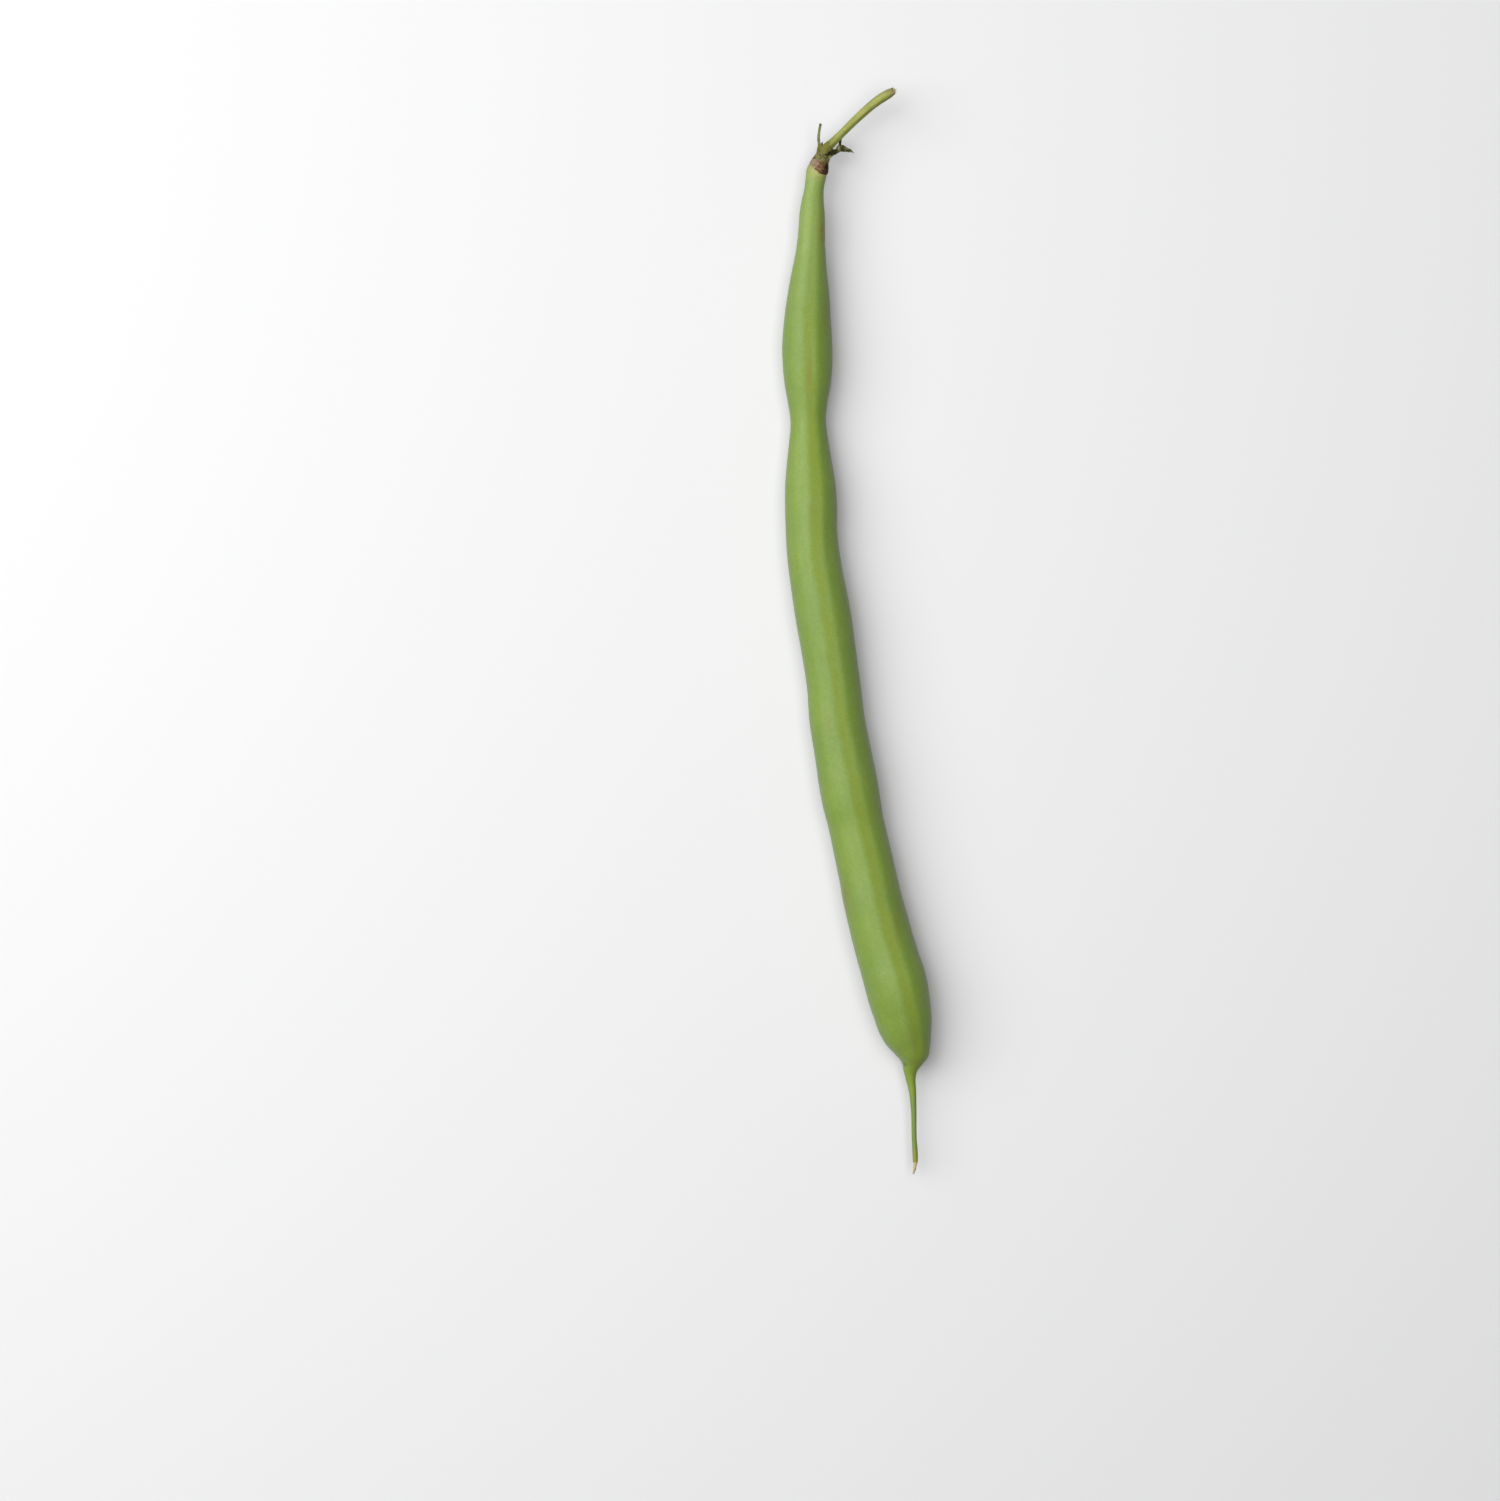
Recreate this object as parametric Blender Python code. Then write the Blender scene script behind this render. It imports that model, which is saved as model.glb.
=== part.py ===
"""A green bean as picked, lying on its side.

The pod runs along Y from its calyx to its beak. A dry style ends the beak. The calyx is a small dry
cup with a bract on each side, and the stalk leaves it at a slant and ends where it was torn off.

Units are metres and +Z is up. The bean rests on the plane z = 0 with its stalk towards +Y, and the
origin lies on that plane below the middle of the bean.
"""
import math

import bmesh
import bpy
from mathutils import Matrix, Vector

MM = 0.001

# Driving sizes
POD_DEPTH = 0.92              # the pod's depth as a share of its width
POD_SINK = 0.10 * MM          # how much of the round belly is pressed flat where it rests
GAP = 0.10 * MM               # how far the torn strands start from the stalk's end
BRACT_THICKNESS = 0.36 * MM
FIBRE_THICKNESS = 0.40 * MM

# The pod's line from the calyx to the tip of the beak: x, y, width and the height of its underside, in mm
POD_LINE = (
    (-5.56, 66.10, 2.96, 2.45),
    (-5.74, 65.66, 3.00, 2.42),
    (-5.95, 64.70, 2.88, 2.48),
    (-6.14, 63.10, 2.80, 2.50),
    (-6.36, 60.20, 3.55, 2.10),
    (-6.50, 56.20, 3.92, 1.85),
    (-6.62, 53.60, 4.42, 1.52),
    (-6.83, 50.10, 5.45, 0.90),
    (-7.02, 46.00, 6.40, 0.30),
    (-7.09, 41.00, 7.13, 0.00),
    (-7.04, 36.50, 6.85, 0.00),
    (-7.04, 33.00, 5.80, 0.50),
    (-6.96, 30.10, 5.07, 0.90),
    (-6.86, 27.20, 5.60, 0.60),
    (-6.74, 23.00, 6.75, 0.10),
    (-6.55, 18.00, 7.38, 0.00),
    (-6.42, 12.50, 7.45, 0.00),
    (-5.15, 4.40, 7.80, 0.00),
    (-3.95, -3.00, 7.72, 0.00),
    (-2.95, -11.50, 7.75, 0.00),
    (-1.30, -21.30, 8.25, 0.00),
    (-0.20, -27.50, 8.00, 0.00),
    (1.30, -34.00, 8.12, 0.00),
    (3.35, -43.00, 8.55, 0.00),
    (5.42, -49.90, 8.85, 0.00),
    (6.37, -54.00, 8.36, 0.00),
    (7.02, -56.90, 7.50, 0.14),
    (7.58, -58.90, 6.12, 0.62),
    (7.96, -60.60, 4.70, 1.22),
    (7.92, -61.80, 3.06, 1.86),
    (7.66, -62.80, 2.05, 2.24),
    (7.74, -64.20, 1.36, 2.46),
    (7.94, -65.60, 1.08, 2.58),
    (8.10, -68.00, 0.80, 2.64),
    (8.25, -73.00, 0.72, 2.60),
    (8.38, -75.90, 0.74, 2.50),
)

# The lines of the round trimmings: x, y, z and width, in mm. Each starts about 0.1 mm clear of its carrier.
STYLE_LINE = (
    (8.38, -76.00, 2.76, 0.56),
    (8.33, -76.45, 2.74, 0.42),
    (8.26, -77.05, 2.72, 0.38),
    (8.10, -77.65, 2.76, 0.24),
)
CALYX_LINE = (
    (-5.51, 66.22, 3.72, 2.84),
    (-5.36, 66.58, 3.75, 3.04),
    (-5.20, 67.08, 3.81, 2.78),
    (-5.00, 67.62, 3.84, 2.48),
    (-4.74, 68.20, 3.88, 2.30),
    (-4.46, 68.74, 3.92, 2.16),
)
STALK_LINE = (
    (-4.05, 69.13, 3.96, 1.48),
    (-3.50, 69.74, 4.02, 1.26),
    (-2.79, 70.47, 4.12, 1.12),
    (-1.64, 71.59, 4.32, 1.12),
    (0.43, 73.57, 4.80, 1.20),
    (2.57, 75.34, 5.34, 1.32),
    (4.26, 76.42, 5.74, 1.36),
    (5.16, 76.92, 5.90, 1.24),
)
LEFT_BRACT_LINE = (
    (-5.17, 69.19, 3.98, 0.58),
    (-5.40, 69.86, 4.05, 0.46),
    (-5.48, 70.50, 4.14, 0.42),
    (-5.42, 71.35, 4.32, 0.38),
    (-5.28, 72.05, 4.52, 0.32),
    (-5.20, 72.38, 4.62, 0.20),
)

# The shrivelled right bract seen from above, from its foot round its tip to the spur by the stalk, in mm
RIGHT_BRACT_HEIGHT = 3.80
RIGHT_BRACT_OUTLINE = (
    (-3.32, 67.94),
    (-2.79, 68.20),
    (-2.14, 68.37),
    (-1.29, 68.40),
    (-0.43, 68.26),
    (-0.93, 68.86),
    (-1.57, 69.20),
    (-2.07, 69.46),
    (-2.14, 69.84),
    (-2.37, 69.80),
    (-2.64, 69.36),
    (-2.90, 68.91),
    (-3.15, 68.58),
)

# The frayed strands at the torn end, seen from above, along the stalk and across it, in mm
FIBRE_OUTLINE = (
    (0.00, -0.40),
    (0.58, -0.44),
    (0.42, -0.24),
    (0.88, -0.20),
    (0.56, -0.02),
    (1.00, 0.14),
    (0.60, 0.20),
    (0.70, 0.44),
    (0.00, 0.42),
)

# Steps between two points of a line, and half the steps of a quarter turn around it
POD_STEPS = 3
POD_ROUNDNESS = 14
TRIM_STEPS = 3
STALK_ROUNDNESS = 6
BRACT_ROUNDNESS = 4

COLOURS = {
    "pod": (0.22, 0.32, 0.07),
    "dry_style": (0.58, 0.46, 0.22),
    "calyx": (0.21, 0.13, 0.05),
    "left_bract": (0.22, 0.19, 0.08),
    "right_bract": (0.12, 0.10, 0.03),
    "stalk": (0.30, 0.33, 0.07),
    "torn_fibres": (0.79, 0.71, 0.54),
}
ROUGHNESS = {"pod": 0.45, "stalk": 0.5}
DRY_ROUGHNESS = 0.8


def clear_scene():
    """Remove what the scene holds before the bean is made."""
    for old in list(bpy.data.objects):
        bpy.data.objects.remove(old, do_unlink=True)


def make_material(name):
    """A Principled material with the named piece's colour."""
    material = bpy.data.materials.new(name)
    material.use_nodes = True
    shader = material.node_tree.nodes["Principled BSDF"]
    shader.inputs["Base Color"].default_value = (*COLOURS[name], 1.0)
    shader.inputs["Roughness"].default_value = ROUGHNESS.get(name, DRY_ROUGHNESS)
    return material


def add_object(name, data, collection):
    """Put a curve or a mesh in the bean's collection, with its own material."""
    piece = bpy.data.objects.new(name, data)
    data.materials.append(make_material(name))
    collection.objects.link(piece)
    return piece


def tube_curve(name, points, widths, steps, roundness):
    """A smooth curve through the points, swept round with a width at each one."""
    curve = bpy.data.curves.new(name, "CURVE")
    curve.dimensions = "3D"
    curve.twist_mode = "Z_UP"
    curve.bevel_depth = 1.0
    curve.bevel_resolution = roundness
    curve.resolution_u = steps
    curve.use_fill_caps = True
    spline = curve.splines.new("BEZIER")
    spline.radius_interpolation = "CARDINAL"
    spline.bezier_points.add(len(points) - 1)
    for knot, point, width in zip(spline.bezier_points, points, widths):
        knot.co = point
        knot.radius = width / 2
        knot.handle_left_type = knot.handle_right_type = "AUTO"
    return curve


def add_trimming(name, line, roundness, collection):
    """A round trimming of the bean along its line of x, y, z and width."""
    points = [Vector(row[:3]) * MM for row in line]
    widths = [row[3] * MM for row in line]
    return add_object(name, tube_curve(name, points, widths, TRIM_STEPS, roundness), collection)


def add_flat_piece(name, outline, thickness, collection):
    """A thin piece with the given outline, in its own plane."""
    curve = bpy.data.curves.new(name, "CURVE")
    curve.dimensions = "2D"
    curve.fill_mode = "BOTH"
    curve.extrude = thickness / 2
    spline = curve.splines.new("POLY")
    spline.points.add(len(outline) - 1)
    for knot, (along, across) in zip(spline.points, outline):
        knot.co = (along * MM, across * MM, 0.0, 1.0)
    spline.use_cyclic_u = True
    return add_object(name, curve, collection)


def add_pod(collection):
    """The pod and its beak in one skin: a round sweep, lowered to its depth, with its belly pressed flat."""
    widths = [row[2] * MM for row in POD_LINE]
    points = []
    for x, y, width, underside in POD_LINE:
        middle = (underside + POD_DEPTH * width / 2) * MM - POD_SINK
        points.append(Vector((x * MM, y * MM, middle / POD_DEPTH)))
    curve = tube_curve("pod_sweep", points, widths, POD_STEPS, POD_ROUNDNESS)
    sweep = bpy.data.objects.new("pod_sweep", curve)
    collection.objects.link(sweep)
    bpy.context.view_layer.update()
    mesh = bpy.data.meshes.new_from_object(sweep.evaluated_get(bpy.context.evaluated_depsgraph_get()))
    mesh.name = "pod"
    bpy.data.objects.remove(sweep, do_unlink=True)

    mesh.transform(Matrix.Scale(POD_DEPTH, 4, (0, 0, 1)))
    body = bmesh.new()
    body.from_mesh(mesh)
    bmesh.ops.remove_doubles(body, verts=body.verts, dist=MM / 1000)
    for vertex in body.verts:
        vertex.co.z = max(vertex.co.z, 0.0)
    body.to_mesh(mesh)
    body.free()
    mesh.shade_smooth()
    mesh.set_sharp_from_angle(angle=math.radians(60))
    return add_object("pod", mesh, collection)


def add_right_bract(collection):
    """The shrivelled bract on the calyx's right."""
    bract = add_flat_piece("right_bract", RIGHT_BRACT_OUTLINE, BRACT_THICKNESS, collection)
    bract.location.z = RIGHT_BRACT_HEIGHT * MM
    return bract


def add_torn_fibres(collection):
    """The strands that stand out of the stalk's torn end, in line with its last stretch."""
    before, end = (Vector(row[:3]) * MM for row in STALK_LINE[-2:])
    along = (end - before).normalized()
    across = Vector((0, 0, 1)).cross(along).normalized()
    up = along.cross(across)
    fibres = add_flat_piece("torn_fibres", FIBRE_OUTLINE, FIBRE_THICKNESS, collection)
    turn = Matrix((along, across, up)).transposed()
    fibres.matrix_world = Matrix.Translation(end + along * GAP) @ turn.to_4x4()
    return fibres


def build():
    """Make every piece of the bean."""
    clear_scene()
    collection = bpy.data.collections.new("green_bean")
    bpy.context.scene.collection.children.link(collection)
    add_pod(collection)
    add_trimming("dry_style", STYLE_LINE, BRACT_ROUNDNESS, collection)
    add_trimming("calyx", CALYX_LINE, STALK_ROUNDNESS, collection)
    add_trimming("left_bract", LEFT_BRACT_LINE, BRACT_ROUNDNESS, collection)
    add_right_bract(collection)
    add_trimming("stalk", STALK_LINE, STALK_ROUNDNESS, collection)
    add_torn_fibres(collection)


build()
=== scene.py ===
"""A green bean as it lies on a pale table: its pod, dry style, calyx, bracts, stalk and torn strands.

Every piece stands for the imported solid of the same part. Lengths in the tables of points are in
millimetres in the frame of the solids, and MM turns them into metres.
"""
import math
import random

import bmesh
import bpy
import numpy as np
from mathutils import Matrix, Vector, noise


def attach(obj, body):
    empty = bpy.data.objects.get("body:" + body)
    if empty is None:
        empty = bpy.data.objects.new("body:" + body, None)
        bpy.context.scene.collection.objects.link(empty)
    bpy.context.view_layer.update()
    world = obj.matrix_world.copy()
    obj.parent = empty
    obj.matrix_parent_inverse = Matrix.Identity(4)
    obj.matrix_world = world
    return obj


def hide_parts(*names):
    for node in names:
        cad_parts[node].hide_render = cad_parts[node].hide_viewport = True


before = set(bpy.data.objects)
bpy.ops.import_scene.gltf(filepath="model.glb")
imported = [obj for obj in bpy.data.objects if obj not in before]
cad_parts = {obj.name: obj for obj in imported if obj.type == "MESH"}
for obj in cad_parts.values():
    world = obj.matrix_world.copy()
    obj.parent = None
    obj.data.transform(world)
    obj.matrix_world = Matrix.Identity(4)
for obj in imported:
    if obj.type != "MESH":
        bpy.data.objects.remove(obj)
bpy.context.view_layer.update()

MM = 0.001
UP = np.array((0.0, 0.0, 1.0))

# The photograph: its size, its scale, and the pixel that lies over the origin
PHOTO_WIDTH, PHOTO_HEIGHT = 1500, 1501
PIXELS_PER_MM = 7.0
ORIGIN_PIXEL = (857.0, 631.0)
CAMERA_HEIGHT = 0.7
SHARP_HEIGHT = 4.0 * MM       # the bean's outline lies at about this height
SENSOR = 36.0

# The soft boxes: place, size and power; and the strength of the pale surrounding
KEY_LIGHT = ((-0.45, 0.14, 0.46), 0.60, 4.0)
TOP_LIGHT = ((0.0, 0.05, 0.70), 0.60, 3.2)
SURROUNDING = 0.05

# The pod from its calyx to the tip of its beak: x, y, width and the height of its underside
POD_DEPTH = 0.92
POD_SINK = 0.10
POD_LINE = (
    (-5.56, 66.10, 2.96, 2.45),
    (-5.74, 65.66, 3.02, 2.42),
    (-5.92, 64.60, 2.88, 2.48),
    (-6.14, 63.00, 2.80, 2.50),
    (-6.32, 61.50, 3.18, 2.30),
    (-6.38, 60.00, 3.56, 2.10),
    (-6.44, 57.80, 3.80, 1.95),
    (-6.54, 55.60, 3.98, 1.82),
    (-6.64, 53.60, 4.40, 1.54),
    (-6.78, 51.40, 5.02, 1.18),
    (-6.86, 49.20, 5.66, 0.78),
    (-6.95, 46.80, 6.20, 0.42),
    (-7.05, 44.00, 6.72, 0.15),
    (-7.09, 40.80, 7.12, 0.00),
    (-7.05, 37.40, 6.95, 0.00),
    (-7.04, 35.10, 6.48, 0.20),
    (-7.03, 32.80, 5.70, 0.60),
    (-6.96, 30.10, 5.05, 0.92),
    (-6.88, 27.40, 5.54, 0.66),
    (-6.80, 24.40, 6.36, 0.25),
    (-6.68, 21.50, 7.05, 0.02),
    (-6.56, 18.20, 7.38, 0.00),
    (-6.50, 14.40, 7.36, 0.00),
    (-6.28, 11.40, 7.46, 0.00),
    (-5.72, 7.40, 7.64, 0.00),
    (-5.20, 4.40, 7.82, 0.00),
    (-4.70, 1.50, 7.88, 0.00),
    (-4.02, -2.80, 7.73, 0.00),
    (-3.32, -7.80, 7.66, 0.00),
    (-2.84, -12.60, 7.84, 0.00),
    (-2.06, -17.10, 8.04, 0.00),
    (-1.34, -21.20, 8.24, 0.00),
    (-0.80, -24.20, 8.22, 0.00),
    (-0.18, -27.20, 7.98, 0.00),
    (0.72, -31.30, 8.06, 0.00),
    (1.42, -34.40, 8.12, 0.00),
    (2.24, -38.40, 8.36, 0.00),
    (3.00, -41.40, 8.48, 0.00),
    (3.76, -44.30, 8.56, 0.00),
    (4.62, -47.20, 8.68, 0.00),
    (5.47, -50.00, 8.86, 0.00),
    (6.03, -52.40, 8.66, 0.00),
    (6.53, -54.60, 8.22, 0.01),
    (6.99, -56.70, 7.60, 0.12),
    (7.38, -58.20, 6.72, 0.42),
    (7.80, -59.60, 5.54, 0.88),
    (8.00, -60.90, 4.32, 1.38),
    (7.92, -61.90, 2.92, 1.90),
    (7.66, -62.80, 2.06, 2.22),
    (7.70, -64.00, 1.44, 2.44),
    (7.94, -65.60, 1.10, 2.57),
    (8.12, -68.20, 0.84, 2.64),
    (8.22, -72.60, 0.72, 2.60),
    (8.36, -75.00, 0.78, 2.52),
    (8.38, -75.90, 0.72, 2.50),
)
POD_SPACING = 0.225
POD_SEGMENTS = 120
FRAME_SMOOTHING = 3.5         # length over which the pod's sections turn with its line

# The upper suture: where along the pod, and how far round from the top towards the right, in degrees
SUTURE = (
    (66.0, 20.0),
    (57.0, 12.0),
    (50.0, 5.0),
    (44.0, 2.0),
    (39.0, 3.0),
    (33.0, 8.0),
    (28.0, 12.0),
    (20.0, 11.0),
    (10.0, 7.0),
    (-1.0, 5.0),
    (-8.0, 6.0),
    (-20.0, 10.0),
    (-30.0, 14.0),
    (-36.0, 15.0),
    (-42.0, 12.5),
    (-47.0, 14.5),
    (-53.0, 14.0),
    (-58.0, 20.0),
    (-62.0, 16.0),
    (-76.0, 0.0),
)
SUTURE_HALF_WIDTH = 0.70
SUTURE_GROOVE = 0.050
SUTURE_RIDGE = 0.036
SUTURE_RIDGE_PLACE = 1.15
SUTURE_RIDGE_WIDTH = 0.62
LOWER_SUTURE_SHARE = 0.6      # the lower suture is this much weaker than the upper one

# The seeds swell the pod's sides: where along it, and by how much
SEEDS = ((46.5, 0.03), (38.5, 0.05), (20.0, 0.04), (8.5, 0.03), (0.5, 0.04), (-12.0, 0.03),
         (-22.5, 0.05), (-34.0, 0.03), (-43.0, 0.04), (-51.5, 0.05))
SEED_LENGTH = 4.2

# Brownish rubs on the skin: x, y, half width, half length and strength
RUBS = (
    (-4.95, 57.0, 0.7, 1.9, 0.75),
    (-6.80, 36.8, 0.35, 2.6, 0.55),
    (-4.20, 45.0, 0.8, 2.6, 0.35),
    (-6.60, 17.0, 0.45, 1.6, 0.25),
    (-4.20, -13.4, 0.7, 1.8, 0.30),
    (-1.75, -38.4, 0.7, 2.6, 0.50),
    (5.60, -41.5, 0.5, 2.6, 0.35),
    (6.95, -57.5, 0.6, 1.4, 0.20),
)
SCAR = (6.85, -61.95, 0.16)   # the dark speck on the blunt end
# The pale edge of the skin below the calyx, in the same terms
CREAM = (
    (-6.40, 66.22, 0.26, 0.18, 0.60),
    (-6.10, 65.88, 0.24, 0.22, 0.85),
    (-5.84, 65.50, 0.22, 0.26, 0.95),
    (-5.58, 65.14, 0.24, 0.22, 0.90),
    (-5.20, 64.96, 0.34, 0.16, 0.60),
)


def smooth_rows(knots, values, places):
    """A smooth curve through rows of values at the knots, read at other places."""
    knots, values, places = (np.asarray(a, float) for a in (knots, values, places))
    slopes = np.gradient(values, knots, axis=0)
    first = np.clip(np.searchsorted(knots, places) - 1, 0, len(knots) - 2)
    gap = knots[first + 1] - knots[first]
    t = (places - knots[first]) / gap
    if values.ndim > 1:
        gap, t = gap[:, None], t[:, None]
    start, end = values[first], values[first + 1]
    leaving, arriving = slopes[first] * gap, slopes[first + 1] * gap
    return ((2 * t ** 3 - 3 * t ** 2 + 1) * start + (t ** 3 - 2 * t ** 2 + t) * leaving
            + (3 * t ** 2 - 2 * t ** 3) * end + (t ** 3 - t ** 2) * arriving)


def distances(points):
    """How far along a line of points each one lies."""
    steps = np.linalg.norm(np.diff(points, axis=0), axis=1)
    return np.concatenate(([0.0], np.cumsum(steps)))


def even_rows(line, spacing):
    """Rows evenly spaced along the smooth curve through a line's rows, and how far along each lies."""
    rows = np.array(line, float)
    knots = distances(rows[:, :3])
    fine = smooth_rows(knots, rows, np.linspace(0.0, knots[-1], 40 * len(rows)))
    run = distances(fine[:, :3])
    along = np.linspace(0.0, run[-1], max(3, round(run[-1] / spacing)) + 1)
    return along, np.column_stack([np.interp(along, run, column) for column in fine.T])


def blurred(rows, window):
    """Rows averaged over their neighbours, with the ends held."""
    if window < 2:
        return rows
    pad = window // 2
    held = np.pad(rows, ((pad, pad), (0, 0)), mode="edge")
    kernel = np.ones(2 * pad + 1) / (2 * pad + 1)
    return np.column_stack([np.convolve(column, kernel, mode="valid") for column in held.T])


def section_axes(centres, window):
    """Unit vectors along a line, to its side, and out of both, at each of its points."""
    tangent = blurred(np.gradient(centres, axis=0), window)
    tangent /= np.linalg.norm(tangent, axis=1)[:, None]
    side = np.cross(UP, tangent)
    side /= np.linalg.norm(side, axis=1)[:, None]
    return tangent, side, np.cross(tangent, side)


def rounded_ends(along, centres, tangent, halves, domes, steps=5):
    """Extra rings that close the two ends of a sweep as domes of the given heights."""
    rings = [(along[i], centres[i], i, 1.0) for i in range(len(along))]
    for end, height in ((0, domes[0]), (-1, domes[1])):
        outward = -1.0 if end == 0 else 1.0
        extra = []
        for step in range(1, steps + 1):
            turn = 0.5 * math.pi * step / (steps + 0.35)
            place = centres[end] + tangent[end] * outward * height * math.sin(turn)
            extra.append((along[end], place, end % len(along), math.cos(turn)))
        rings = list(reversed(extra)) + rings if end == 0 else rings + extra
    return rings


def sweep(name, line, spacing, segments, relief=None, domes=(0.0, 0.0), smoothing=0.0):
    """A closed skin swept along a line of x, y, z, width and depth, with a relief added to it.

    relief(along, around, points, halves) gives the height of the surface above the plain sweep.
    The mesh keeps how far along and around each point lies, for its material.
    """
    along, rows = even_rows(line, spacing)
    centres, halves = rows[:, :3], rows[:, 3:5] / 2
    window = round(smoothing / spacing)
    tangent, side, out = section_axes(centres, window)
    rings = rounded_ends(along, centres, tangent, halves, domes)
    index = np.array([ring[2] for ring in rings])
    shrink = np.array([ring[3] for ring in rings])
    along = np.array([ring[0] for ring in rings])
    centres = np.array([ring[1] for ring in rings])
    halves = halves[index] * shrink[:, None]
    side, out = side[index], out[index]
    around = np.linspace(-math.pi, math.pi, segments, endpoint=False)
    across = np.sin(around)[None, :, None] * side[:, None, :]
    rise = np.cos(around)[None, :, None] * out[:, None, :]
    points = centres[:, None, :] + across * halves[:, 0, None, None] + rise * halves[:, 1, None, None]
    if relief is not None:
        normal = across / halves[:, 0, None, None] + rise / halves[:, 1, None, None]
        normal /= np.linalg.norm(normal, axis=2)[:, :, None]
        height = relief(along, around, points, halves) * np.clip(shrink, 0.0, 1.0)[:, None]
        points = points + normal * height[:, :, None]
    return skin_mesh(name, points, along, around)


def skin_mesh(name, points, along, around):
    """A mesh object from rings of points, closed at both ends with a point."""
    count, segments = points.shape[:2]
    vertices = points.reshape(-1, 3)
    ring, step = np.meshgrid(np.arange(count - 1), np.arange(segments), indexing="ij")
    follow = (step + 1) % segments
    quads = np.stack((ring * segments + step, ring * segments + follow,
                      (ring + 1) * segments + follow, (ring + 1) * segments + step), axis=-1)
    faces = quads.reshape(-1, 4).tolist()
    first, last = len(vertices), len(vertices) + 1
    end = (count - 1) * segments
    vertices = np.vstack((vertices, points[0].mean(axis=0), points[-1].mean(axis=0)))
    for j in range(segments):
        k = (j + 1) % segments
        faces += [(first, k, j), (last, end + j, end + k)]
    mesh = bpy.data.meshes.new(name)
    mesh.from_pydata((vertices * MM).tolist(), [], faces)
    body = bmesh.new()
    body.from_mesh(mesh)
    bmesh.ops.recalc_face_normals(body, faces=body.faces)
    body.to_mesh(mesh)
    body.free()
    mesh.shade_smooth()
    set_attribute(mesh, "along", np.append(np.repeat(along, segments), (along[0], along[-1])))
    set_attribute(mesh, "around", np.append(np.tile(around, count), (0.0, 0.0)))
    piece = bpy.data.objects.new(name, mesh)
    bpy.context.scene.collection.objects.link(piece)
    return piece


def set_attribute(mesh, name, values):
    """A number at each point of a mesh, for its material to read."""
    attribute = mesh.attributes.get(name) or mesh.attributes.new(name, "FLOAT", "POINT")
    attribute.data.foreach_set("value", np.asarray(values, np.float32))


def coordinates(mesh):
    """A mesh's points in millimetres."""
    flat = np.zeros(len(mesh.vertices) * 3, np.float32)
    mesh.vertices.foreach_get("co", flat)
    return flat.reshape(-1, 3).astype(float) / MM


def lumps(points, size, seed):
    """Smooth random heights from -1 to 1 over an array of points, with lumps of the given size."""
    shift = Vector((seed * 7.13, seed * 3.71, seed * 5.37))
    flat = points.reshape(-1, 3) / size
    return np.array([noise.noise(Vector(p) + shift) for p in flat]).reshape(points.shape[:-1])


def bell(distance, width):
    """A smooth bump that is 1 at no distance and fades over the width."""
    return np.exp(-(distance / width) ** 2)


def turned(angle):
    """An angle brought between minus and plus half a turn."""
    return (angle + math.pi) % (2 * math.pi) - math.pi


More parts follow.
